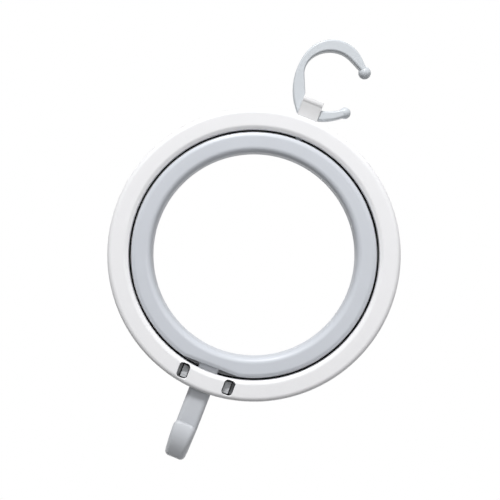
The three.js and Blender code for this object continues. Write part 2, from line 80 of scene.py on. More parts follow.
# Small distances and counts that the modelling needs
CUT = MM  # how far a cutting tool reaches past what it cuts
OVERLAP = 0.1 * MM  # how far a boss runs into its wall
# Painted shade: the faces in a shell's hollow are drawn near black so that the gap between the rings reads
# dark.
PAINT_MARGIN = 0.05 * MM  # beyond the inside of a shell, for the faces that get its dark finish
CREASE = math.radians(32)  # edges sharper than this stay sharp
ARC_STEP = math.radians(7.5)  # turn of each straight step round a corner of an outline
HOLD = 0.12 * MM  # from the end of such a corner to the point that keeps the flat beside it flat
ROUND_STEPS = 48  # straight steps round a turned piece or a bar
TOOL_EDGE = 0.2 * MM  # rounding of the tool that cuts the saddle's bore, outside the saddle
WEB_SPREAD = 0.98  # share of the arc beyond the inner ring's flat that the web fills
SNUG = 0.98  # share of the strip's thickness that its two roundings may take up
RIM_CUT = 4 * MM  # depth of the openings in the rim for the saddle and the tail hook
EDGE_STEPS = 6  # straight steps round the edge of a window or of the saddle
BAR_STEPS = 4  # straight steps round the rim of a bar
WALK_STEPS = 160  # straight steps along each stretch of a drawn line
HOOK_STEPS = 120  # steps along the crescent
PRONG_STEPS = 38  # steps along the prong
PRONG_LEAD = 2  # further steps inside the saddle, which are cut off
HOOK_LEAD = 4 * MM  # crescent inside the saddle, which is cut off
STRIP_STEPS = 12  # stations down the straight of the tail hook
CURL_STEPS = 160  # steps round its curl
SWAP_STEPS = 24  # stations over which the larger rounding changes sides
TIP_STEPS = 24  # steps round its tip
TIP_END = 0.998  # share of the tip's quarter turn that is drawn, so that its last outline has a size

# Barb of a catch, from top to bottom: depth behind its tip, and height as a share of half the barb's height
BARB_PROFILE = ((0.9 * MM, 1.0), (0.2 * MM, 0.5), (0.9 * MM, 0.42), (MM, -0.2), (0.0, -0.55), (0.0, -1.0))

# Skin of a moulding. Flow clouds only just show, and handling polishes the skin in patches. The mould's grain
# is nearer 0.1 mm, and is drawn coarser so that it shows.
CLOUD_SIZE = 18 * MM
CLOUD_SHADES = 0.975, 1.015  # darkest and lightest, as shares of the colour
PATCH_SIZE = 6 * MM
PATCH_SPREAD = 0.05  # roughness either way
GRAIN_SIZE = 0.6 * MM
GRAIN_DEPTH = 0.02 * MM
GRAIN_STRENGTH = 0.12

# Name, roughness and refractive index of the plastic in each finish. Polypropylene has a satin gloss,
# acetal is duller, and the inside of a shell is as rough as the core of its mould left it. The saddle,
# tail, catch and inside finishes paint shade: each is drawn darker than its plastic for the shade on it.
PLASTICS = {
    "white": ("moulded white polypropylene", 0.45, 1.49),
    "saddle_shaded_white": ("moulded saddle polypropylene", 0.45, 1.49),
    "ring_grey": ("moulded grey polypropylene", 0.42, 1.49),
    "hook_grey": ("moulded hook polypropylene", 0.36, 1.49),
    "tail_shaded_grey": ("moulded tail polypropylene", 0.36, 1.49),
    "pin_grey": ("turned grey acetal", 0.45, 1.48),
    "catch_shaded_grey": ("moulded catch acetal", 0.5, 1.48),
    "inside": ("unpolished inside of the shells", 0.75, 1.49),
}


def linear(code):
    """Linear red, green and blue of an sRGB hex colour."""
    shares = [int(code[i : i + 2], 16) / 255 for i in (0, 2, 4)]
    return [share / 12.92 if share <= 0.04045 else ((share + 0.055) / 1.055) ** 2.4 for share in shares]


def length(name, description, millimetres):
    """A size that a user can change, given in millimetres and kept in metres."""
    metres = millimetres * MM
    return FloatProperty(name=name, description=description, default=metres, unit="LENGTH", precision=5)


def angle(name, description, degrees):
    """An angle that a user can change."""
    return FloatProperty(name=name, description=description, default=math.radians(degrees), subtype="ANGLE")


def power(name, description, watts):
    """The power of a lamp that a user can change."""
    return FloatProperty(name=name, description=description, default=watts, unit="POWER")


def colour(name, description, code):
    """A colour that a user can change."""
    return FloatVectorProperty(
        name=name, description=description, subtype="COLOR", size=3, min=0.0, max=1.0, default=linear(code)
    )


class RingSizes(bpy.types.PropertyGroup):
    """Sizes of the four ring shells."""

    depth: length("Depth", "From the front face to the back face of a ring", 15)
    rim_fillet: length("Rim fillet", "Rounding of the outer ring's rim", 3.1)
    hole_fillet: length("Hole fillet", "Rounding of the edges of the hole", 3.3)
    bevel_width: length("Bevel width", "Bevel either side of the gap, across the faces", 1.9)
    bevel_depth: length("Bevel depth", "Bevel of the outer ring, into the gap", 0.95)
    inner_bevel: length("Inner bevel depth", "Bevel of the inner ring, into the gap", 0.8)
    bevel_fillet: length("Bevel fillet", "Rounding between a face and its bevel", 2.9)
    bevel_edge: length("Bevel edge", "Rounding between a bevel and the gap", 0.25)
    small_edge: length("Small edge", "Rounding of the edges at seams and inside the shells", 0.22)
    seam: length("Seam", "Gap between the rims of a front and a back shell", 0.3)
    fit: length("Fit", "Gap round every piece that the shells hold", 0.3)
    tongue: length("Tongue thickness", "Locating tongue on the rim of a front shell", 0.8)
    tongue_length: length("Tongue length", "Reach of the locating tongue past the middle of the ring", 1.6)
    outer_radius: length("Outer radius", "Rim of the outer ring", 82.5)
    outer_band: length("Outer band", "Radial width of the outer ring's face", 12)
    outer_wall: length("Outer wall", "Wall of the outer shells", 2.2)
    slot: length("Channel slot", "Opening of the outer ring towards the inner ring", 6.4)
    gap: length("Ring gap", "Radial gap between the rings", 1.8)
    inner_band: length("Inner band", "Radial width of the inner ring's face", 11.1)
    inner_wall: length("Inner wall", "Wall of the inner shells", 2)
    flat_cut: length("Flat", "Depth of the flat at the foot of the inner ring", 1.9)
    steps: IntProperty(name="Steps", description="Straight steps round a ring", default=240, min=24)
    peg_count: IntProperty(name="Bosses", description="Bosses inside either outer shell", default=6, min=3)
    boss_radius: length("Boss radius", "Bosses inside the outer ring", 2.8)
    web_clearance: length("Web clearance", "Between the web and the inner ring as it turns", 0.4)
    web_root: length("Web root", "How far the web runs into the lip that carries it", 0.6)
    web_set_back: length("Web set-back", "Front of the web behind the edge of the channel's opening", 1)
    web_slot: length("Web slot", "Width of the slot in the web beside the tail hook's neck", 1.7)
    web_slot_height: length("Web slot height", "Height of that slot above the foot of the web", 5)


class WindowSizes(bpy.types.PropertyGroup):
    """Sizes of the two windows beside the tail hook and of the catches in them."""

    spacing: length("Spacing", "Between the centres of the two windows", 27)
    width: length("Width", "Across a window", 6.2)
    rim_margin: length("Rim margin", "From a window to the rim of the ring", 2.4)
    lip_margin: length("Lip margin", "From a window to the inner edge of the ring", 0.8)
    corner: length("Corner", "Corner radius of a window", 2.05)
    edge: length("Edge", "Rounding of a window's front edge", 0.3)
    barb_width: length("Barb width", "Across the barb of a catch", 3.4)
    barb_inset: length("Barb inset", "Tip of a barb below the front face", 2.9)
    barb_gap: length("Barb gap", "Between a barb and the wall of its window", 0.55)
    barb_slot: length("Barb slot", "Between a barb and the ledge beside it", 0.8)
    ledge_inset: length("Ledge inset", "Ledge beside a barb below the front face", 6)


class SaddleSizes(bpy.types.PropertyGroup):
    """Sizes of the saddle on top of the outer ring."""

    width: length("Width", "Along the hook's bar", 11.8)
    depth: length("Depth", "From front to back across the lips", 9.6)
    top: length("Top", "Top of the saddle above the hook's bar", 7.2)
    foot: length("Foot", "Foot of the saddle below the hook's bar", 8.2)
    lip_round: length("Lip round", "Rounding of the lip along either top edge", 2)
    lip_turn: angle("Lip turn", "How far the lip turns under", 32)
    lip_cove: length("Lip cove", "Hollow rounding from the lip down to the face", 1.4)
    lean: angle("Lean", "Lean of either face inwards, down towards the ring", 8)
    edge: length("Edge", "Rounding of the two ends", 0.25)
    bore_gap: length("Bore gap", "Clearance round the hook's bar", 0.3)


class HookSizes(bpy.types.PropertyGroup):
    """Sizes of the hanging hook. Heights are above its bar, and the crescent's edges turn to the right."""

    bar_radius: length("Bar radius", "Bar that lies in the saddle", 3)
    side_gap: length("Side gap", "Between the hook and either end of its saddle", 0.15)
    thickness: length("Thickness", "From front to back", 6)
    rounding: length("Rounding", "Rounding of the crescent's edges", 1.35)
    outer_start: length("Outer start", "Height where the outer edge leaves the saddle", -3.15)
    outer_heading: angle("Outer heading", "Direction of the outer edge there", 134)
    outer_back: length("Outer back", "Radius behind", 33.9)
    outer_back_turn: angle("Outer back turn", "Arc behind", 63)
    outer_crown: length("Outer crown", "Radius over the top", 18.6)
    outer_crown_turn: angle("Outer crown turn", "Arc over the top", 115)
    outer_tip: length("Outer tip", "Straight length to the ball", 6.5)
    inner_start: length("Inner start", "Height where the inner edge leaves the saddle", 9.1)
    inner_heading: angle("Inner heading", "Direction of the inner edge there", 114)
    inner_rise: length("Inner rise", "Straight length up from the saddle", 10.2)
    inner_back: length("Inner back", "Radius behind the rod", 11.7)
    inner_back_turn: angle("Inner back turn", "Arc behind the rod", 55)
    inner_crown: length("Inner crown", "Radius over the rod", 16.3)
    inner_crown_turn: angle("Inner crown turn", "Arc over the rod", 85)
    inner_tip: length("Inner tip", "Straight length to the ball", 8.3)
    upper_ball: length("Upper ball", "Radius of the ball on the crescent", 3.55)
    upper_lead: length("Upper lead", "Centre of that ball beyond the end of the crescent", 1.4)
    lower_ball: length("Lower ball", "Radius of the ball on the prong", 3.3)
    lower_reach: length("Lower reach", "Centre of that ball out from the middle of the bar", 19)
    lower_height: length("Lower height", "Centre of that ball above the bar", 6.7)
    bend_reach: length("Bend reach", "Point that pulls the prong's middle line down", 12)
    bend_height: length("Bend height", "Height of that point", 0.9)
    prong_tip: length("Prong tip", "Width of the prong at its ball", 4.4)


class TailSizes(bpy.types.PropertyGroup):
    """Sizes of the tail hook and of the pivots."""

    width: length("Width", "Across the strip", 12.9)
    thickness: length("Thickness", "Through the strip", 3.8)
    rounding: length("Rounding", "Rounding of the strip's front edges", 2.7)
    back_rounding: length("Back rounding", "Rounding of the strip's back edges", 0.9)
    tip_corner: length("Tip corner", "Corner radius of the curl's tip", 2.8)
    taper: length("Taper", "How much narrower the strip is at the bend", 1.1)
    taper_height: length("Taper height", "Height above the bend where the taper starts", 18)
    drop: length("Drop", "From the rim of the outer ring down to the bend", 40.1)
    bend: length("Bend", "Outside radius of the bend", 5.3)
    lip_lean: angle("Lip lean", "Lean of the lip outwards above the bend", 35)
    lip_sweep: length("Lip sweep", "Radius of the lip above the bend", 39)
    lip_upright: angle("Lip upright", "Lean of the lip outwards where its last curve starts", 24)
    lip_curve: length("Lip curve", "Radius of the lip's curve back in", 16.6)
    lip_return: angle("Lip return", "Lean of the tip inwards", 25)
    set_over: length("Set over", "How far the strip sits to one side in its slot", -0.8)
    set_turn: angle("Set turn", "How far the strip sits turned in its slot", -3.5)
    flange_overhang: length("Flange overhang", "Flange beyond either side of the strip", 2.6)
    flange_thickness: length("Flange thickness", "Flange under the rim of the outer ring", 2.5)
    neck_width: length("Neck width", "Neck between the ring's lips", 11.5)
    neck_gap: length("Neck gap", "Between the neck and what is beside it", 0.5)
    stub_radius: length("Stub radius", "Lower pivot", 2.4)
    stub_length: length("Stub length", "Lower pivot above the neck", 5.2)
    pin_radius: length("Pin radius", "Upper pivot pin", 2.1)
    pin_head: length("Pin head", "Radius of the pin's head", 3.6)
    pin_head_thickness: length("Pin head thickness", "Head of the upper pivot pin", 2.5)
    pin_bore: length("Pin bore", "Depth of the upper pivot's bore in the inner ring", 6.7)
    stub_bore: length("Stub bore", "Depth of the lower pivot's bore in the inner ring", 7)
    turn_gap: length("Turn gap", "Round a pivot in the inner ring", 0.25)
    pivot_edge: length("Pivot edge", "Bevel of the edges of the pivots and of the flange", 0.3)
    neck_edge: length("Neck edge", "Rounding of the neck's edges", 0.4)


class Finishes(bpy.types.PropertyGroup):
    """Colours of the mouldings and of the stage."""

    white: colour("White", "Outer ring", "F3F3F5")
    # Painted shade: the saddle is the ring's white plastic, drawn darker for the shade on its leaning face.
    saddle_shaded_white: colour("Saddle white", "Hook saddle, moulded from another batch", "DBDBDC")
    ring_grey: colour("Ring grey", "Inner ring", "CFD3DA")
    hook_grey: colour("Hook grey", "Hanging hook", "CED3D8")
    # Painted shade: the tail hook is the hook's grey plastic, drawn darker for the shade it lies in.
    tail_shaded_grey: colour("Tail grey", "Tail hook", "C5C8CD")
    pin_grey: colour("Pin grey", "Upper pivot pin", "D8DBDF")
    # Painted shade: the catches are white shell plastic, drawn grey for the shade inside the windows.
    catch_shaded_grey: colour("Catch grey", "Catches in the windows", "A9ABAE")
    # Painted shade: the near-black of the hollow stands in for the shade deep inside it.
    inside: colour("Inside", "Hollow of the outer ring", "1C1D1F")
    floor: colour("Floor", "Floor under the hanger", "F4F4F4")


class StageSizes(bpy.types.PropertyGroup):
    """Camera, lamps and floor."""

    distance: length("Distance", "From the camera to the front of the rings", 450)
    frame_width: length("Frame", "Width that the frame shows at that distance", 281)
    shift_x: length("Aim across", "Middle of the frame from the ring's centre, along X", -3.1)
    shift_y: length("Aim forward", "Middle of the frame from the ring's centre, along Y", -4.9)
    shift_z: length("Aim up", "Middle of the frame from the ring's centre, along Z", 1.79)
    roll: angle("Roll", "Turn of the hanger in the frame", 21.2)
    key_power: power("Key", "Power of the lamp above", 43.5)
    key_size: length("Key size", "Side of the lamp above", 480)
    front_power: power("Front", "Power of the lamp by the camera", 14.5)
    front_size: length("Front size", "Side of the lamp by the camera", 1500)
    back_power: power("Back", "Power of the lamp behind", 30.0)
    back_size: length("Back size", "Side of the lamp behind", 400)
    lamp_reach: length("Lamp reach", "From the ring's centre to a lamp", 2200)
    ambient: FloatProperty(name="Ambient", description="Light from all round", default=0.19)
    floor_drop: length("Floor drop", "Floor below the hanger", 450)
    floor_radius: length("Floor radius", "Round paper floor", 700)
    glow_start: length("Glow start", "Where the floor starts to brighten, from its middle", 100)
    glow_end: length("Glow end", "Where it stops brightening", 500)
    fibre: length("Fibre", "Size of the paper fibres, drawn coarse so that they show", 3)
    fibre_depth: length("Fibre depth", "Height of the paper fibres", 0.05)


def sizes(group):
    """A group of the sizes or finishes that a user can change."""
    return getattr(bpy.context.scene, "hanger_" + group)


def add(tree, kind, settings=None, links=None):
    """A new node with its settings. Each named input gets a value, a socket or a node's first output."""
    node = tree.nodes.new(kind)
    for key, value in (settings or {}).items():
        setattr(node, key, value)
    for key, value in (links or {}).items():
        if isinstance(value, bpy.types.Node):
            value = next(socket for socket in value.outputs if socket.enabled)
        if isinstance(value, bpy.types.NodeSocket):
            tree.links.new(value, node.inputs[key])
        else:
            node.inputs[key].default_value = value
    return node


def new_material(name):
    """An empty material, its node tree and the place on the piece that its patterns follow."""
    material = bpy.data.materials.new(name)
    material.use_nodes = True
    tree = material.node_tree
    tree.nodes.clear()
    return material, tree, add(tree, "ShaderNodeTexCoord").outputs["Object"]


def plastic(finish):
    """An injection-moulded plastic: one colour through and through, a satin skin from a fine spark-eroded
    mould, and faint clouds where the melt flowed and cooled unevenly."""
    name, roughness, ior = PLASTICS[finish]
    if name in bpy.data.materials:
        return bpy.data.materials[name]
    shade = getattr(sizes("finishes"), finish)
    material, tree, place = new_material(name)
    clouds, patches, grain = [
        add(tree, "ShaderNodeTexNoise", links={"Vector": place, "Scale": 1 / size, "Detail": detail})
        for size, detail in ((CLOUD_SIZE, 2.0), (PATCH_SIZE, 3.0), (GRAIN_SIZE, 2.0))
    ]
    dark, light = [[min(1.0, channel * share) for channel in shade] + [1.0] for share in CLOUD_SHADES]
    tint = add(tree, "ShaderNodeMix", {"data_type": "RGBA"}, {"Factor": clouds, "A": dark, "B": light})
    links = {"Value": patches, "From Min": 0.3, "From Max": 0.7}
    links |= {"To Min": roughness - PATCH_SPREAD, "To Max": roughness + PATCH_SPREAD}
    polish = add(tree, "ShaderNodeMapRange", links=links)
    links = {"Height": grain, "Strength": GRAIN_STRENGTH, "Distance": GRAIN_DEPTH}
    bump = add(tree, "ShaderNodeBump", links=links)
    links = {"Base Color": tint, "Roughness": polish, "IOR": ior, "Normal": bump}
    shader = add(tree, "ShaderNodeBsdfPrincipled", links=links)
    add(tree, "ShaderNodeOutputMaterial", links={"Surface": shader})
    return material


def floor_paper():
    """Matt white paper roll. The camera sees it a little lifted, so that it meets the surroundings in white
    and still shows a shadow."""
    stage = sizes("stage")
    material, tree, place = new_material("matt white paper")
    fibre = add(tree, "ShaderNodeTexNoise", links={"Vector": place, "Scale": 1 / stage.fibre, "Detail": 3.0})
    links = {"Height": fibre, "Strength": 0.05, "Distance": stage.fibre_depth}
    bump = add(tree, "ShaderNodeBump", links=links)
    ray = add(tree, "ShaderNodeLightPath").outputs
    larger, times = {"operation": "MAXIMUM"}, {"operation": "MULTIPLY"}
    seen = add(tree, "ShaderNodeMath", larger, {0: ray["Is Camera Ray"], 1: ray["Is Glossy Ray"]})
    # A dark surround beyond the floor takes most of the light that it would throw back up.
    dark, shade = [0.12, 0.12, 0.12, 1.0], [*sizes("finishes").floor, 1.0]
    paper = add(tree, "ShaderNodeMix", {"data_type": "RGBA"}, {"Factor": seen, "A": dark, "B": shade})
    flat = add(tree, "ShaderNodeVectorMath", times, {0: place, 1: (1.0, 1.0, 0.0)})
    out = add(tree, "ShaderNodeVectorMath", {"operation": "LENGTH"}, {0: flat})
    links = {"Value": out, "From Min": stage.glow_start, "From Max": stage.glow_end}
    links |= {"To Min": 0.1, "To Max": 0.9}
    rise = add(tree, "ShaderNodeMapRange", {"interpolation_type": "SMOOTHSTEP"}, links)
    lift = add(tree, "ShaderNodeMath", times, {0: seen, 1: rise})
    links = {"Base Color": paper, "Roughness": 0.9, "Normal": bump}
    links |= {"Emission Color": (1.0, 1.0, 1.0, 1.0), "Emission Strength": lift}
    shader = add(tree, "ShaderNodeBsdfPrincipled", links=links)
    add(tree, "ShaderNodeOutputMaterial", links={"Surface": shader})
    return material


def rounded(corners):
    """Closed outline through corners of x, y and radius, each turned by an arc. A point just outside either
    end of every arc keeps the flats between them flat when they are shaded smooth."""
    count = len(corners)
    bends = []
    for i, (x, y, radius) in enumerate(corners):
        here = Vector((x, y))
        back = (Vector(corners[i - 1][:2]) - here).normalized()
        ahead = (Vector(corners[(i + 1) % count][:2]) - here).normalized()
        turn = math.pi - back.angle(ahead)
        bends.append((here, back, ahead, turn, radius * math.tan(turn / 2)))
    outline = []
    for i, (here, back, ahead, turn, reach) in enumerate(bends):
        before, after = bends[i - 1], bends[(i + 1) % count]
        room_back = ((before[0] - here).length - before[4] - reach) / 3
        room_ahead = ((after[0] - here).length - after[4] - reach) / 3
        radius = corners[i][2]
        centre = here + (back + ahead).normalized() * (radius / math.cos(turn / 2))
        arm = here + back * reach - centre
        sense = math.copysign(turn, ahead.cross(back))
        arcs = max(2, round(turn / ARC_STEP))
        outline.append(here + back * (reach + min(HOLD, room_back)))
        for k in range(arcs + 1):
            outline.append(centre + Matrix.Rotation(sense * k / arcs, 2) @ arm)
        outline.append(here + ahead * (reach + min(HOLD, room_ahead)))
    return outline


def rounded_box(wide, tall, lower, upper):
    """Rounded rectangle about the origin, from half its width and height and the radii of its corners."""
    return rounded([(-wide, -tall, lower), (wide, -tall, lower), (wide, tall, upper), (-wide, tall, upper)])


def quarter_round(radius, steps):
    """Rounded edge as a row of distances in from the end and in from the side, from the end on."""
    turns = [QUARTER * k / steps for k in range(steps + 1)]
    return [(radius * (1 - math.cos(turn)), radius * (1 - math.sin(turn))) for turn in turns]


def loft(rings):
    """Closed skin over a row of closed outlines, capped at both ends."""
    skin = bmesh.new()
    rows = [[skin.verts.new(point) for point in ring] for ring in rings]
    count = len(rows[0])
    for row, following in zip(rows, rows[1:]):
        for i in range(count):
            j = (i + 1) % count
            skin.faces.new((row[i], row[j], following[j], following[i]))
    skin.faces.new(rows[0])
    skin.faces.new(rows[-1])
    return plain(skin)


def plain(skin):
    """Plain mesh of a closed skin, its faces turned outwards."""
    bmesh.ops.recalc_face_normals(skin, faces=skin.faces)
    mesh = bpy.data.meshes.new("part")
    skin.to_mesh(mesh)
    skin.free()
    return mesh


def circle():
    """Cosine and sine of evenly spaced turns."""
    turns = [2 * math.pi * i / ROUND_STEPS for i in range(ROUND_STEPS)]
    return [(math.cos(turn), math.sin(turn)) for turn in turns]


def turned(outline, place):
    """Skin turned about an upright axis through a place, from an open outline of radius and height."""
    return loft([[place + Vector((r * c, r * s, height)) for c, s in circle()] for r, height in outline])


def bar_along_x(radius, x0, x1, edge):
    """Round bar along X through the middle of the hook's bar, its two rims rounded."""
    stations = [(x0 + along, radius - inset) for along, inset in quarter_round(edge, BAR_STEPS)]
    stations += [(x1 - (x - x0), r) for x, r in reversed(stations)]
    return loft([[BAR_CENTRE + Vector((x, r * c, r * s)) for c, s in circle()] for x, r in stations])


def block(low, high, edge=0.0):
    """Block between two corners, its edges rounded where a radius is given."""
    skin = bmesh.new()
    bmesh.ops.create_cube(skin, size=1.0)
    centre = (Vector(low) + Vector(high)) / 2
    spread = Vector(high) - Vector(low)
    for vertex in skin.verts:
        vertex.co = centre + vertex.co * spread
    if edge:
        bmesh.ops.bevel(skin, geom=skin.edges[:], offset=edge, segments=3, profile=0.5, affect="EDGES")
    return plain(skin)


def ball(radius, place):
    """Ball round a place."""
    skin = bmesh.new()
    bmesh.ops.create_uvsphere(skin, u_segments=56, v_segments=36, radius=radius)
    bmesh.ops.translate(skin, verts=skin.verts, vec=place)
    return plain(skin)


def joined(meshes):
    """One mesh of several."""
    skin = bmesh.new()
    for mesh in meshes:
        skin.from_mesh(mesh)
        bpy.data.meshes.remove(mesh)
    mesh = bpy.data.meshes.new("part")
    skin.to_mesh(mesh)
    skin.free()
    return mesh


def holder(mesh):
    """Object that holds a mesh while modifiers work on it."""
    thing = bpy.data.objects.new("holder", mesh)
    bpy.context.scene.collection.objects.link(thing)
    return thing


def applied(thing, others=()):
    """Plain mesh of an object after its modifiers. The object and the others it used are removed."""
    bpy.context.view_layer.update()
    mesh = bpy.data.meshes.new_from_object(thing.evaluated_get(bpy.context.evaluated_depsgraph_get()))
    for used in [thing, *others]:
        data = used.data
        bpy.data.objects.remove(used)
        bpy.data.meshes.remove(data)
    return mesh


def shaped(mesh, tools, operation):
    """Mesh with closed tools cut from it or welded to it."""
    target = holder(mesh)
    helpers = []
    for tool in tools:
        helper = holder(tool)
        helpers.append(helper)
        modifier = target.modifiers.new("shape", "BOOLEAN")
        modifier.operation = operation
        modifier.solver = "EXACT"
        modifier.object = helper
    return applied(target, helpers)


def ring_tree(name, inputs, shape):
    """Node tree that makes a shape round a circle, lays its axis along Y and gives it its material. The
    shape is a function of the tree and of its inputs."""
    if name in bpy.data.node_groups:
        return bpy.data.node_groups[name]
    tree = bpy.data.node_groups.new(name, "GeometryNodeTree")
    for label, kind in {**inputs, "Centre": "Vector", "Finish": "Material"}.items():
        tree.interface.new_socket(label, in_out="INPUT", socket_type="NodeSocket" + kind)
    tree.interface.new_socket("Shape", in_out="OUTPUT", socket_type="NodeSocketGeometry")
    given = add(tree, "NodeGroupInput").outputs
    links = {"Geometry": shape(tree, given), "Translation": given["Centre"], "Rotation": (QUARTER, 0.0, 0.0)}
    upright = add(tree, "GeometryNodeTransform", links=links)
    real = add(tree, "GeometryNodeRealizeInstances", links={"Geometry": upright})
    finish = add(tree, "GeometryNodeSetMaterial", links={"Geometry": real, "Material": given["Finish"]})
    add(tree, "NodeGroupOutput", links={"Shape": finish})
    return tree


def swept_section(tree, given):
    """Closed section swept round a circle."""
    section = add(tree, "GeometryNodeMeshToCurve", links={"Mesh": given["Section"]})
    links = {"Resolution": given["Steps"], "Radius": given["Mid radius"]}
    path = add(tree, "GeometryNodeCurvePrimitiveCircle", links=links)
    return add(tree, "GeometryNodeCurveToMesh", links={"Curve": path, "Profile Curve": section})


def pegs_on_circle(tree, given):
    """Round bosses set on a circle."""
    links = {"Vertices": given["Count"], "Radius": given["Mid radius"]}
    places = add(tree, "GeometryNodeMeshCircle", links=links)
    links = {"Vertices": 24, "Radius": given["Peg radius"], "Depth": given["Peg length"]}
    peg = add(tree, "GeometryNodeMeshCylinder", links=links)
    return add(tree, "GeometryNodeInstanceOnPoints", links={"Points": places, "Instance": peg})


def grown(tree, mesh, values):
    """Plain mesh that a node tree makes of a mesh and of values for its named inputs."""
    thing = holder(mesh)
    modifier = thing.modifiers.new(tree.name, "NODES")
    modifier.node_group = tree
    for item in tree.interface.items_tree:
        if item.in_out == "INPUT" and item.name in values:
            modifier[item.identifier] = values[item.name]
    return applied(thing)


def ring_shell(corners, finish):
    """Shell of a ring, its section given as corners of radius, depth and, where it isn't small, rounding."""
    rings = sizes("rings")
    radii = [corner[0] for corner in corners]
    mid = (min(radii) + max(radii)) / 2
    outline = rounded([corner if len(corner) > 2 else (*corner, rings.small_edge) for corner in corners])
    count = len(outline)
    section = bpy.data.meshes.new("section")
    section.from_pydata(
        [(point.x - mid, point.y, 0.0) for point in outline],
        [(i, (i + 1) % count) for i in range(count)],
        [],
    )
    inputs = {"Section": "Geometry", "Mid radius": "Float", "Steps": "Int"}
    mesh = grown(
        ring_tree("Swept ring", inputs, swept_section),
        section,
        {"Mid radius": mid, "Steps": rings.steps, "Centre": RING_CENTRE, "Finish": plastic(finish)},
    )
    skin = bmesh.new()
    skin.from_mesh(mesh)
    bpy.data.meshes.remove(mesh)
    return plain(skin)


def hung(name, mesh, finishes, body, node):
    """Finished piece: its place is in its mesh, it takes the place of a solid and moves with its body."""
    if not mesh.polygons:
        raise RuntimeError(f"{name} came out empty")
    for index, finish in enumerate(finishes):
        if index < len(mesh.materials):
            mesh.materials[index] = plastic(finish)
        else:
            mesh.materials.append(plastic(finish))
    mesh.name = name
    mesh.shade_smooth()
    mesh.set_sharp_from_angle(angle=CREASE)
    thing = bpy.data.objects.new(name, mesh)
    bpy.context.scene.collection.objects.link(thing)
    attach(thing, body)
    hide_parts(node)
    return thing


def ring_levels():
    """Sizes that the shells and the pieces they hold share: half the depth, half the seam, the inside of the
    outer ring, the roof of its channel and the outside of the inner ring."""
    rings = sizes("rings")
    roof = rings.outer_radius - rings.outer_wall
    inside = rings.outer_radius - rings.outer_band
    return rings.depth / 2, rings.seam / 2, inside, roof, inside - rings.gap


def window_place(side):
    """Middle of a window on the front face, and its height."""
    rings, windows = sizes("rings"), sizes("windows")
    height = rings.outer_band - windows.rim_margin - windows.lip_margin
    across = windows.spacing / 2
    drop = math.sqrt((rings.outer_radius - windows.rim_margin - height / 2) ** 2 - across**2)
    return RING_CENTRE + Vector((side * across, -rings.depth / 2, -drop)), height


def window_tool(side):
    """Tool that cuts a window, flared at the front for its rounded edge."""
    rings, windows = sizes("rings"), sizes("windows")
    place, height = window_place(side)
    stations = [(-CUT, windows.edge + CUT), *quarter_round(windows.edge, EDGE_STEPS)[1:]]
    stations.append((rings.outer_wall + rings.fit, 0.0))
    stack = []
    for depth, spread in stations:
        corner = windows.corner + spread
        outline = rounded_box(windows.width / 2 + spread, height / 2 + spread, corner, corner)
        stack.append([place + Vector((point.x, depth, point.y)) for point in outline])
    return loft(stack)


def catch(side):
    """Catch behind a window: a springy arm whose barb is stepped across its middle, and the ledge by it."""
    rings, windows = sizes("rings"), sizes("windows")
    place, height = window_place(side)
    tall = height / 2 - windows.barb_gap
    root = rings.depth - rings.outer_wall
    outline = [(windows.barb_inset + depth, tall * share) for depth, share in BARB_PROFILE]
    outline += [(root, -tall), (root, tall)]
    near = side * (windows.barb_gap - windows.width / 2)
    far = near + side * windows.barb_width
    barb = loft([[place + Vector((x, depth, rise)) for depth, rise in outline] for x in (near, far)])
    start, end = sorted((far + side * windows.barb_slot, side * (windows.width / 2 + rings.fit)))
    ledge = block(
        place + Vector((start, windows.ledge_inset, -height / 2)), place + Vector((end, root, height / 2))
    )
    mesh = joined([barb, ledge])
    # The barb and the ledge take the catch grey, which is painted shade.
    for face in mesh.polygons:
        face.material_index = 2
    return mesh


def saddle_tool():
    """Tool that opens the rim for the saddle, as deep as the leaning saddle is where it enters the rim."""
    rings, saddle = sizes("rings"), sizes("saddle")
    rim = RING_CENTRE.z + rings.outer_radius
    fall = saddle.top - saddle.lip_round + BAR_CENTRE.z - RING_CENTRE.z - rings.outer_radius
    side = saddle.width / 2 + rings.fit
    reach = saddle.depth / 2 - fall * math.tan(saddle.lean) + rings.fit
    return block((-side, -reach, rim - RIM_CUT), (side, reach, rim + 2 * CUT))


def set_in_slot(mesh):
    """Moves a mesh as the tail hook's strip sits in its slot."""
    tail = sizes("tail")
    mesh.transform(Matrix.Translation((tail.set_over, 0.0, 0.0)) @ Matrix.Rotation(tail.set_turn, 4, "Z"))
    return mesh


def tail_tool():
    """Tool that opens the rim for the tail hook's strip."""
    rings, tail = sizes("rings"), sizes("tail")
    side = tail.width / 2 + rings.fit
    reach = tail.thickness / 2 + rings.fit
    rim = RING_CENTRE.z - rings.outer_radius
    return set_in_slot(block((-side, -reach, rim - 2 * CUT), (side, reach, rim + RIM_CUT)))


def web_behind_flat():
    """Web on the back shell that closes the gap behind the inner ring's flat, clear of the ring as it turns
    and with a slot beside the tail hook's neck."""
    rings, tail = sizes("rings"), sizes("tail")
    half, _, inside, _, inner = ring_levels()
    chord = inner - rings.flat_cut + rings.web_clearance
    root = inside + rings.web_root
    steps = 16
    spread = math.acos(chord / root) * WEB_SPREAD
    outline = []
    for k in range(2 * steps + 1):
        turn = spread * (k / steps - 1)
        outline.append(Vector((root * math.sin(turn), 0.0, -root * math.cos(turn))))
    ends = rings.slot / 2 + rings.web_set_back, half - rings.bevel_depth
    web = loft([[RING_CENTRE + point + Vector((0.0, y, 0.0)) for point in outline] for y in ends])
    side = tail.set_over - tail.neck_width / 2
    level = RING_CENTRE.z - root
    slot = block(
        (side - rings.web_slot, 0.0, level - CUT),
        (side, half - rings.outer_wall, level + rings.web_slot_height),
    )
    return shaped(web, [slot], "DIFFERENCE")


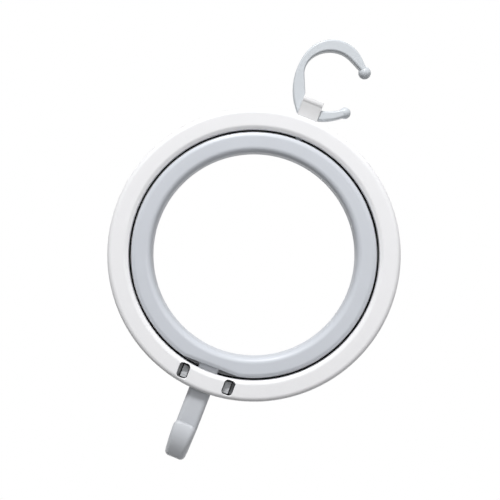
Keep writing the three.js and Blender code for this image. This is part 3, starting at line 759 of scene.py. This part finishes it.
def with_bosses(mesh, back):
    """Outer shell with its bosses, and with the second material, a near-black painted shade, on the faces in
    its hollow.
    """
    rings = sizes("rings")
    half, seam, inside, roof, _ = ring_levels()
    deep = half - rings.outer_wall
    y0, y1 = (seam, deep + OVERLAP) if back else (-deep - OVERLAP, -seam)
    inputs = {"Count": "Int", "Mid radius": "Float", "Peg radius": "Float", "Peg length": "Float"}
    bosses = grown(
        ring_tree("Pegs round a ring", inputs, pegs_on_circle),
        bpy.data.meshes.new("pegs"),
        {
            "Count": rings.peg_count,
            "Mid radius": (inside + rings.outer_radius) / 2,
            "Peg radius": rings.boss_radius,
            "Peg length": y1 - y0,
            "Centre": RING_CENTRE + Vector((0.0, (y0 + y1) / 2, 0.0)),
            "Finish": plastic("white"),
        },
    )
    mesh = joined([mesh, bosses])
    for face in mesh.polygons:
        reach = math.hypot(face.center.x, face.center.z - RING_CENTRE.z)
        within = inside + PAINT_MARGIN < reach < roof + PAINT_MARGIN
        # These faces take the near-black inside finish, which is painted shade.
        if within and abs(face.center.y) < deep + PAINT_MARGIN:
            face.material_index = 1
    return mesh


def rim_step(back):
    """Room that a rebate has over its tongue, and the depth where either ends in a shell drawn as a front."""
    rings = sizes("rings")
    return (rings.fit, -rings.tongue_length - rings.fit) if back else (0.0, rings.tongue_length)


def faced(corners, back):
    """Corners of a shell drawn as a front. A back shell mirrors them, the other way round from the fifth."""
    return [(r, -y, *edge) for r, y, *edge in corners[4::-1] + corners[:4:-1]] if back else corners


def outer_section(back):
    """Section of an outer shell: a channel with a tongue on the front rim or a rebate in the back one."""
    rings = sizes("rings")
    half, seam, inside, roof, _ = ring_levels()
    outside, wall, slot = rings.outer_radius, rings.outer_wall, rings.slot / 2
    spare, end = rim_step(back)
    lip = roof + rings.tongue + spare
    corners = [
        (inside, rings.bevel_depth - half, rings.bevel_edge),
        (inside + rings.bevel_width, -half, rings.bevel_fillet),
        (outside, -half, rings.rim_fillet),
        (outside, -seam),
        (lip, -seam),
        (lip, end),
        (roof, end),
        (roof, wall - half),
        (inside + wall, wall - half),
        (inside + wall, -slot),
        (inside, -slot),
    ]
    return faced(corners, back)


class HANGER_OT_outer_ring(bpy.types.Operator):
    """Build the front and back shells of the outer ring, with the windows and their catches"""

    bl_idname = "hanger.outer_ring"
    bl_label = "Outer ring"

    def execute(self, context):
        tools = [window_tool(-1), window_tool(1), saddle_tool(), tail_tool()]
        front = shaped(ring_shell(outer_section(False), "white"), tools, "DIFFERENCE")
        front = with_bosses(front, False)
        # The second finish paints near-black shade into the hollow.
        finishes = ["white", "inside"]
        hung("outer_front_shell", front, finishes, "outer_frame", "outer_ring_front")

        back = shaped(ring_shell(outer_section(True), "white"), [saddle_tool(), tail_tool()], "DIFFERENCE")
        back = joined([with_bosses(back, True), web_behind_flat(), catch(-1), catch(1)])
        # The catches' grey is painted shade in the windows.
        finishes = ["white", "inside", "catch_shaded_grey"]
        hung("outer_back_shell", back, finishes, "outer_frame", "outer_ring_back")
        return {"FINISHED"}


def inner_section(back):
    """Section of an inner shell, with a tongue on either front rim or a rebate in either back one."""
    rings = sizes("rings")
    half, seam, _, _, outside = ring_levels()
    inside, wall = outside - rings.inner_band, rings.inner_wall
    spare, end = rim_step(back)
    outer_lip = outside - wall + rings.tongue + spare
    inner_lip = inside + wall - rings.tongue - spare
    corners = [
        (inside, -half, rings.hole_fillet),
        (outside - rings.bevel_width, -half, rings.bevel_fillet),
        (outside, rings.inner_bevel - half, rings.bevel_edge),
        (outside, -seam),
        (outer_lip, -seam),
        (outer_lip, end),
        (outside - wall, end),
        (outside - wall, wall - half),
        (inside + wall, wall - half),
        (inside + wall, end),
        (inner_lip, end),
        (inner_lip, -seam),
        (inside, -seam),
    ]
    return faced(corners, back)


def press_flat(mesh):
    """Draws the outer half of an inner shell in to the flat at its foot."""
    rings = sizes("rings")
    outside = ring_levels()[4]
    mid = outside - rings.inner_band / 2
    flat = outside - rings.flat_cut
    for vertex in mesh.vertices:
        x, z = vertex.co.x, vertex.co.z - RING_CENTRE.z
        reach = math.hypot(x, z)
        if z < 0 and reach > mid:
            share = 1 - max(0.0, outside - flat * reach / -z) / reach
            vertex.co.x = x * share
            vertex.co.z = RING_CENTRE.z + z * share


def inner_shell(name, back, node):
    """Shell of the inner ring, with its flat and the bores for the pivots."""
    tail = sizes("tail")
    outside = ring_levels()[4]
    pin, stub = tail.pin_radius + tail.turn_gap, tail.stub_radius + tail.turn_gap
    upper = turned([(pin, outside - tail.pin_bore), (pin, outside + CUT)], RING_CENTRE)
    lower = turned([(stub, -outside - CUT), (stub, tail.stub_bore - outside)], RING_CENTRE)
    mesh = ring_shell(inner_section(back), "ring_grey")
    press_flat(mesh)
    mesh = shaped(mesh, [upper, lower], "DIFFERENCE")
    hung(name, mesh, ["ring_grey"], "inner_ring", node)


class HANGER_OT_inner_ring(bpy.types.Operator):
    """Build the front and back shells of the inner ring, with the flat at its foot"""

    bl_idname = "hanger.inner_ring"
    bl_label = "Inner ring"

    def execute(self, context):
        inner_shell("inner_front_shell", False, "inner_ring_front")
        inner_shell("inner_back_shell", True, "inner_ring_back")
        return {"FINISHED"}


def saddle_outline():
    """Outline of the saddle across the hook's bar. A round lip turns in under either top edge, and a hollow
    cove leads from it to the leaning face."""
    saddle = sizes("saddle")
    rim = RING_CENTRE.z + sizes("rings").outer_radius - BAR_CENTRE.z
    lip_steps, cove_steps = 18, 8
    middle = Vector((saddle.depth / 2 - saddle.lip_round, saddle.top - saddle.lip_round))
    facing = Vector((math.cos(saddle.lip_turn), -math.sin(saddle.lip_turn)))
    cove = middle + (saddle.lip_round + saddle.lip_cove) * facing
    # A point just inside the lip, and one just inside either end of the face, keep the flats flat.
    side = [Vector((middle.x - 0.15 * MM, saddle.top))]
    for k in range(lip_steps + 1):
        turn = QUARTER - (QUARTER + saddle.lip_turn) * k / lip_steps
        side.append(middle + saddle.lip_round * Vector((math.cos(turn), math.sin(turn))))
    for k in range(1, cove_steps + 1):
        turn = saddle.lip_turn + (saddle.lean - saddle.lip_turn) * k / cove_steps
        side.append(cove - saddle.lip_cove * Vector((math.cos(turn), -math.sin(turn))))
    foot = side[-1] + (rim - CUT - side[-1].y) * Vector((math.tan(saddle.lean), 1.0))
    side += [side[-1].lerp(foot, share) for share in (0.03, 0.97, 1.0)]
    side.append(Vector((foot.x, -saddle.foot)))
    side.reverse()
    return side + [Vector((-point.x, point.y)) for point in reversed(side)]


class HANGER_OT_saddle(bpy.types.Operator):
    """Build the saddle that holds the hanging hook"""

    bl_idname = "hanger.saddle"
    bl_label = "Hook saddle"

    def execute(self, context):
        saddle, hook = sizes("saddle"), sizes("hook")
        outline = saddle_outline()
        # The outline draws in a little towards either end, for the rounded edges there.
        tall, level = (saddle.top + saddle.foot) / 2, (saddle.top - saddle.foot) / 2
        edge = quarter_round(saddle.edge, EDGE_STEPS)
        stack = []
        for end, row in ((-1, edge), (1, reversed(edge))):
            for along, inset in row:
                x = end * (saddle.width / 2 - along)
                thinner, lower = 1 - inset / (saddle.depth / 2), 1 - inset / tall
                points = [(x, p.x * thinner, level + (p.y - level) * lower) for p in outline]
                stack.append([BAR_CENTRE + Vector(point) for point in points])
        bore = bar_along_x(hook.bar_radius + saddle.bore_gap, -saddle.width, saddle.width, TOOL_EDGE)
        mesh = shaped(loft(stack), [bore], "DIFFERENCE")
        # The saddle's darker white is painted shade.
        hung("saddle", mesh, ["saddle_shaded_white"], "outer_frame", "hook_saddle")
        return {"FINISHED"}


def walked(start, heading, stretches, count):
    """Evenly spaced points along straight lengths and arcs that turn to the right."""
    points = [Vector(start)]
    for radius, amount in stretches:
        here = points[-1].copy()
        centre = here + radius * Vector((math.sin(heading), -math.cos(heading)))
        for k in range(1, WALK_STEPS + 1):
            part = amount * k / WALK_STEPS
            if radius:
                points.append(centre + Matrix.Rotation(-part, 2) @ (here - centre))
            else:
                points.append(here + part * Vector((math.cos(heading), math.sin(heading))))
        if radius:
            heading -= amount
    travelled = [0.0]
    for before, after in zip(points, points[1:]):
        travelled.append(travelled[-1] + (after - before).length)
    even, place = [], 0
    for k in range(count + 1):
        goal = travelled[-1] * k / count
        while place < len(points) - 2 and travelled[place + 1] < goal:
            place += 1
        share = (goal - travelled[place]) / (travelled[place + 1] - travelled[place])
        even.append(points[place].lerp(points[place + 1], share))
    return even


def bar_skin(stations, rounding, thickness):
    """Skin of a bar of rounded section, as thick along Y as given. Each station is an outer and an inner
    point drawn in X and Z from the middle of the hook's bar."""
    rings = []
    for outer, inner in stations:
        wide, thick = (outer - inner).length / 2, thickness / 2
        across = (outer - inner).normalized()
        middle = (outer + inner) / 2
        # The rounded corners never quite meet.
        corner = min(rounding, wide / 1.1, thick / 1.02)
        outline = rounded_box(wide, thick, corner, corner)
        points = [(middle.x + across.x * p.x, p.y, middle.y + across.y * p.x) for p in outline]
        rings.append([BAR_CENTRE + Vector(point) for point in points])
    return loft(rings)


def hook_root():
    """Where either half of the hook starts, from the middle of its bar."""
    return sizes("saddle").width / 2 + sizes("hook").side_gap


def cut_at_saddle(mesh):
    """Cuts half of the hook square beside the saddle."""
    root, reach = hook_root(), 10 * MM
    low, high = BAR_CENTRE.z - 20 * MM, BAR_CENTRE.z + 15 * MM
    return shaped(mesh, [block((-root, -reach, low), (root, reach, high))], "DIFFERENCE")


def crescent_edge(edge, rise):
    """Outer or inner edge of the crescent, which starts a little behind the saddle's side."""
    names = "start", "heading", "back", "back_turn", "crown", "crown_turn", "tip"
    along = [getattr(sizes("hook"), f"{edge}_{name}") for name in names]
    height, heading, back, back_turn, crown, crown_turn, tip = along
    lead = HOOK_LEAD * Vector((math.cos(heading), math.sin(heading)))
    stretches = [(0, HOOK_LEAD + rise), (back, back_turn), (crown, crown_turn), (0, tip)]
    return walked(Vector((-hook_root(), height)) - lead, heading, stretches, HOOK_STEPS)


def crescent():
    """The crescent of the hook with the ball on its tip."""
    hook = sizes("hook")
    outer, inner = crescent_edge("outer", 0.0), crescent_edge("inner", hook.inner_rise)
    across = (outer[-1] - inner[-1]).normalized()
    tip = (outer[-1] + inner[-1]) / 2 + hook.upper_lead * Vector((across.y, -across.x))
    skin = cut_at_saddle(bar_skin(zip(outer, inner), hook.rounding, hook.thickness))
    return skin, ball(hook.upper_ball, BAR_CENTRE + Vector((tip.x, 0.0, tip.y)))


def prong():
    """The short lower prong of the hook, along a curve that a point pulls down, with the ball on its tip."""
    hook = sizes("hook")
    start = Vector((hook_root(), 0.0))
    bend = Vector((hook.bend_reach, hook.bend_height))
    low = Vector((hook.lower_reach, hook.lower_height))
    stations = []
    for k in range(-PRONG_LEAD, PRONG_STEPS + 1):
        t = k / PRONG_STEPS
        centre = start * (1 - t) ** 2 + bend * (2 * t * (1 - t)) + low * t**2
        way = ((bend - start) * (1 - t) + (low - bend) * t).normalized()
        reach = hook.bar_radius * (1 - t) + hook.prong_tip / 2 * t
        side = Vector((-way.y, way.x)) * reach
        stations.append((centre - side, centre + side))
    skin = cut_at_saddle(bar_skin(stations, hook.rounding, hook.thickness))
    return skin, ball(hook.lower_ball, BAR_CENTRE + Vector((low.x, 0.0, low.y)))


class HANGER_OT_hanging_hook(bpy.types.Operator):
    """Build the crescent, the prong, their two balls and the bar of the hanging hook"""

    bl_idname = "hanger.hanging_hook"
    bl_label = "Hanging hook"

    def execute(self, context):
        root = hook_root()
        upper, upper_ball = crescent()
        lower, lower_ball = prong()
        # The bar runs a little way into either half.
        ends = -root - 0.25 * MM, root + 0.4 * MM
        bar = bar_along_x(sizes("hook").bar_radius, *ends, 0.05 * MM)
        mesh = shaped(upper, [bar, lower, upper_ball, lower_ball], "UNION")
        hung("hook", mesh, ["hook_grey"], "hanging_hook_body", "hanging_hook")
        return {"FINISHED"}


def tail_levels():
    """Heights from the rings' centre: the foot and top of the flange, the top of the neck and the bottom of
    the bend, and half of the flange's width."""
    rings, tail = sizes("rings"), sizes("tail")
    _, _, _, roof, inner = ring_levels()
    flange_half = tail.width / 2 + tail.flange_overhang
    flange_low = rings.fit - math.sqrt(roof**2 - flange_half**2)
    flange_top = flange_low + tail.flange_thickness
    neck_top = -(inner - rings.flat_cut) - tail.neck_gap
    return flange_low, flange_top, neck_top, -rings.outer_radius - tail.drop, flange_half


def round_in(radius, left):
    """How far a rounded end comes in at a distance from its tip."""
    return radius - math.sqrt(radius**2 - (radius - left) ** 2) if left < radius else 0.0


def tail_stations():
    """Stations down the strip, round the bend and up the lip, each a point on the back of the strip, one on
    its front and a width."""
    tail = sizes("tail")
    _, top, _, bottom, _ = tail_levels()
    thick = tail.thickness / 2
    # The back of the strip turns under, leans out up the lip and curves back in to the tip.
    stretches = [
        (tail.bend, math.pi - tail.lip_lean),
        (tail.lip_sweep, tail.lip_lean - tail.lip_upright),
        (tail.lip_curve, tail.lip_upright + tail.lip_return),
    ]
    curl = walked((thick, bottom + tail.bend), -QUARTER, stretches, CURL_STEPS)
    stations = []
    for k in range(STRIP_STEPS):
        height = top + (curl[0].y - top) * k / STRIP_STEPS
        stations.append((Vector((thick, height)), Vector((-thick, height)), tail.width))
    span = (curl[-1] - curl[-2]).length
    for k, back in enumerate(curl):
        way = (curl[min(k + 1, CURL_STEPS)] - curl[max(k - 1, 0)]).normalized()
        if (CURL_STEPS - k) * span > tail.tip_corner:
            stations.append((back, back + Vector((way.y, -way.x)) * tail.thickness, tail.width))
    # The tip closes in a round edge with round corners.
    way = (curl[-1] - curl[-2]).normalized()
    facing = Vector((way.y, -way.x))
    for k in range(TIP_STEPS + 1):
        left = tail.tip_corner * (1 - math.sin(QUARTER * k / TIP_STEPS * TIP_END))
        # A place just short of the last point still has a point after it.
        place = min(CURL_STEPS - left / span, CURL_STEPS - 0.001)
        back = curl[int(place)].lerp(curl[int(place) + 1], place - int(place))
        thinner = round_in(thick, left)
        front = back + facing * (tail.thickness - thinner)
        stations.append((back + facing * thinner, front, tail.width - 2 * round_in(tail.tip_corner, left)))
    return stations


def tail_strip():
    """Strip and curl of the tail hook. The larger rounding stays on the side that faces the front: the inside
    of the strip, then the outside of the lip."""
    tail = sizes("tail")
    bottom = tail_levels()[3]
    outlines = []
    for index, (outer, inner, width) in enumerate(tail_stations()):
        low = min(1.0, max(0.0, 1 - (outer.y - bottom) / tail.taper_height))
        deep, wide = (outer - inner).length / 2, (width - tail.taper * low) / 2
        across = (outer - inner).normalized()
        centre = (outer + inner) / 2
        share = min(1.0, max(0.0, (index - STRIP_STEPS) / SWAP_STEPS))
        share = share * share * (3 - 2 * share)
        shrink = min(1.0, SNUG * 2 * deep / (tail.rounding + tail.back_rounding))
        within = shrink * (tail.rounding * (1 - share) + tail.back_rounding * share)
        without = shrink * (tail.rounding * share + tail.back_rounding * (1 - share))
        section = rounded_box(wide, deep, within, without)
        points = [(p.x, centre.x + across.x * p.y, centre.y + across.y * p.y) for p in section]
        outlines.append([RING_CENTRE + Vector(point) for point in points])
    return set_in_slot(loft(outlines))


class HANGER_OT_tail_hook(bpy.types.Operator):
    """Build the strip and curl of the tail hook, with the flange, neck and lower pivot above it"""

    bl_idname = "hanger.tail_hook"
    bl_label = "Tail hook"

    def execute(self, context):
        rings, tail = sizes("rings"), sizes("tail")
        low, top, neck_top, _, side = tail_levels()
        level, edge = RING_CENTRE.z, tail.pivot_edge
        deep = rings.depth / 2 - rings.outer_wall - rings.fit
        flange = block((-side, -deep, level + low), (side, deep, level + top), edge)
        neck_deep = rings.slot / 2 - tail.neck_gap
        neck = block(
            (tail.set_over - tail.neck_width / 2, -neck_deep, level + low + tail.neck_gap),
            (tail.set_over + tail.neck_width / 2, neck_deep, level + neck_top),
            tail.neck_edge,
        )
        end = neck_top + tail.stub_length
        outline = [(tail.stub_radius, top), (tail.stub_radius, end - edge), (tail.stub_radius - edge, end)]
        mesh = shaped(tail_strip(), [flange, neck, turned(outline, RING_CENTRE)], "UNION")
        # The tail's darker grey is painted shade.
        hung("tail", mesh, ["tail_shaded_grey"], "outer_frame", "tail_hook")
        return {"FINISHED"}


class HANGER_OT_pivot_pin(bpy.types.Operator):
    """Build the upper pivot pin"""

    bl_idname = "hanger.pivot_pin"
    bl_label = "Upper pivot pin"

    def execute(self, context):
        tail = sizes("tail")
        low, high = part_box("upper_pivot_pin")
        edge = tail.pivot_edge
        neck = high.z - tail.pin_head_thickness
        outline = [
            (tail.pin_radius - edge, low.z),
            (tail.pin_radius, low.z + edge),
            (tail.pin_radius, neck - edge),
            (tail.pin_radius + edge, neck),
            (tail.pin_head - edge, neck),
            (tail.pin_head, neck + edge),
            (tail.pin_head, high.z - edge),
            (tail.pin_head - edge, high.z),
        ]
        mesh = turned(outline, Vector((0.0, 0.0, 0.0)))
        hung("pin", mesh, ["pin_grey"], "outer_frame", "upper_pivot_pin")
        return {"FINISHED"}


def white_surroundings():
    """World that the camera and the gloss see in white, and that lights the hanger only faintly."""
    world = bpy.data.worlds.new("white surroundings")
    world.use_nodes = True
    tree = world.node_tree
    tree.nodes.clear()
    ray = add(tree, "ShaderNodeLightPath").outputs
    larger = {"operation": "MAXIMUM"}
    seen = add(tree, "ShaderNodeMath", larger, {0: ray["Is Camera Ray"], 1: ray["Is Transmission Ray"]})
    seen = add(tree, "ShaderNodeMath", larger, {0: seen, 1: ray["Is Glossy Ray"]})
    ambient = sizes("stage").ambient
    strength = add(tree, "ShaderNodeMapRange", links={"Value": seen, "To Min": ambient, "To Max": 1.0})
    white = add(tree, "ShaderNodeBackground", links={"Color": (1.0, 1.0, 1.0, 1.0), "Strength": strength})
    add(tree, "ShaderNodeOutputWorld", links={"Surface": white})
    return world


def paper_floor():
    """Round floor some way below the hanger."""
    stage = sizes("stage")
    skin = bmesh.new()
    bmesh.ops.create_circle(skin, cap_ends=True, radius=stage.floor_radius, segments=96)
    bmesh.ops.translate(skin, verts=skin.verts, vec=(0.0, 0.0, CAD_BOX[0].z - stage.floor_drop))
    mesh = bpy.data.meshes.new("floor")
    skin.to_mesh(mesh)
    skin.free()
    mesh.materials.append(floor_paper())
    return bpy.data.objects.new("floor", mesh)


class HANGER_OT_stage(bpy.types.Operator):
    """Set the camera, the lamps, the white surroundings and the floor"""

    bl_idname = "hanger.stage"
    bl_label = "Stage"

    def execute(self, context):
        scene = context.scene
        stage = scene.hanger_stage
        scene.view_settings.view_transform = "Standard"
        right = Vector((math.cos(stage.roll), 0.0, math.sin(stage.roll)))
        up = Vector((-math.sin(stage.roll), 0.0, math.cos(stage.roll)))
        back = Vector((0.0, -1.0, 0.0))
        aim = RING_CENTRE + Vector((stage.shift_x, stage.shift_y, stage.shift_z))

        camera = bpy.data.objects.new("camera", bpy.data.cameras.new("camera"))
        camera.data.sensor_width = 36.0
        camera.data.lens = camera.data.sensor_width * stage.distance / stage.frame_width
        camera.data.clip_start = 10 * MM
        facing = Matrix((right, up, back)).transposed().to_4x4()
        camera.matrix_world = Matrix.Translation(aim + back * stage.distance) @ facing
        scene.collection.objects.link(camera)
        scene.camera = camera

        # The lamp behind lights the back faces alone, and isn't mirrored in the walls that run towards it.
        for name, watts, size, toward, mirrored in (
            ("key softbox", stage.key_power, stage.key_size, right * -0.22 + up * 1.5 + back, True),
            ("front softbox", stage.front_power, stage.front_size, right * 0.5 + up * 0.35 + back, True),
            ("back softbox", stage.back_power, stage.back_size, -back, False),
        ):
            lamp = bpy.data.lights.new(name, "AREA")
            lamp.shape = "SQUARE"
            lamp.size = size
            lamp.energy = watts
            thing = bpy.data.objects.new(name, lamp)
            thing.location = RING_CENTRE + toward.normalized() * stage.lamp_reach
            thing.rotation_mode = "QUATERNION"
            thing.rotation_quaternion = (-toward).to_track_quat("-Z", "Y")
            thing.visible_camera = False
            thing.visible_glossy = mirrored
            scene.collection.objects.link(thing)

        scene.world = white_surroundings()
        floor = paper_floor()
        scene.collection.objects.link(floor)
        return {"FINISHED"}


class HANGER_PT_build(bpy.types.Panel):
    """Lists what builds the hanger"""

    bl_idname = "HANGER_PT_build"
    bl_label = "Folding hat hanger"
    bl_space_type = "VIEW_3D"
    bl_region_type = "UI"
    bl_category = "Hanger"

    def draw(self, context):
        for operator in OPERATORS:
            self.layout.operator(operator.bl_idname)
        for name in GROUPS:
            group = getattr(context.scene, name)
            box = self.layout.box()
            for key in group.bl_rna.properties.keys():
                if key not in {"rna_type", "name"}:
                    box.prop(group, key)


GROUPS = {
    "hanger_rings": RingSizes,
    "hanger_windows": WindowSizes,
    "hanger_saddle": SaddleSizes,
    "hanger_hook": HookSizes,
    "hanger_tail": TailSizes,
    "hanger_finishes": Finishes,
    "hanger_stage": StageSizes,
}
OPERATORS = (
    HANGER_OT_stage,
    HANGER_OT_outer_ring,
    HANGER_OT_inner_ring,
    HANGER_OT_saddle,
    HANGER_OT_hanging_hook,
    HANGER_OT_tail_hook,
    HANGER_OT_pivot_pin,
)


def register():
    """Registers the sizes, the operators and the panel."""
    for name, group in GROUPS.items():
        bpy.utils.register_class(group)
        setattr(bpy.types.Scene, name, PointerProperty(type=group))
    for operator in OPERATORS:
        bpy.utils.register_class(operator)
    bpy.utils.register_class(HANGER_PT_build)


def unregister():
    """Takes them away again."""
    bpy.utils.unregister_class(HANGER_PT_build)
    for operator in reversed(OPERATORS):
        bpy.utils.unregister_class(operator)
    for name, group in reversed(GROUPS.items()):
        delattr(bpy.types.Scene, name)
        bpy.utils.unregister_class(group)


def main():
    """Builds the stage and every piece."""
    register()
    bpy.ops.hanger.stage()
    bpy.ops.hanger.outer_ring()
    bpy.ops.hanger.inner_ring()
    bpy.ops.hanger.saddle()
    bpy.ops.hanger.hanging_hook()
    bpy.ops.hanger.tail_hook()
    bpy.ops.hanger.pivot_pin()


if __name__ == "__main__":
    main()
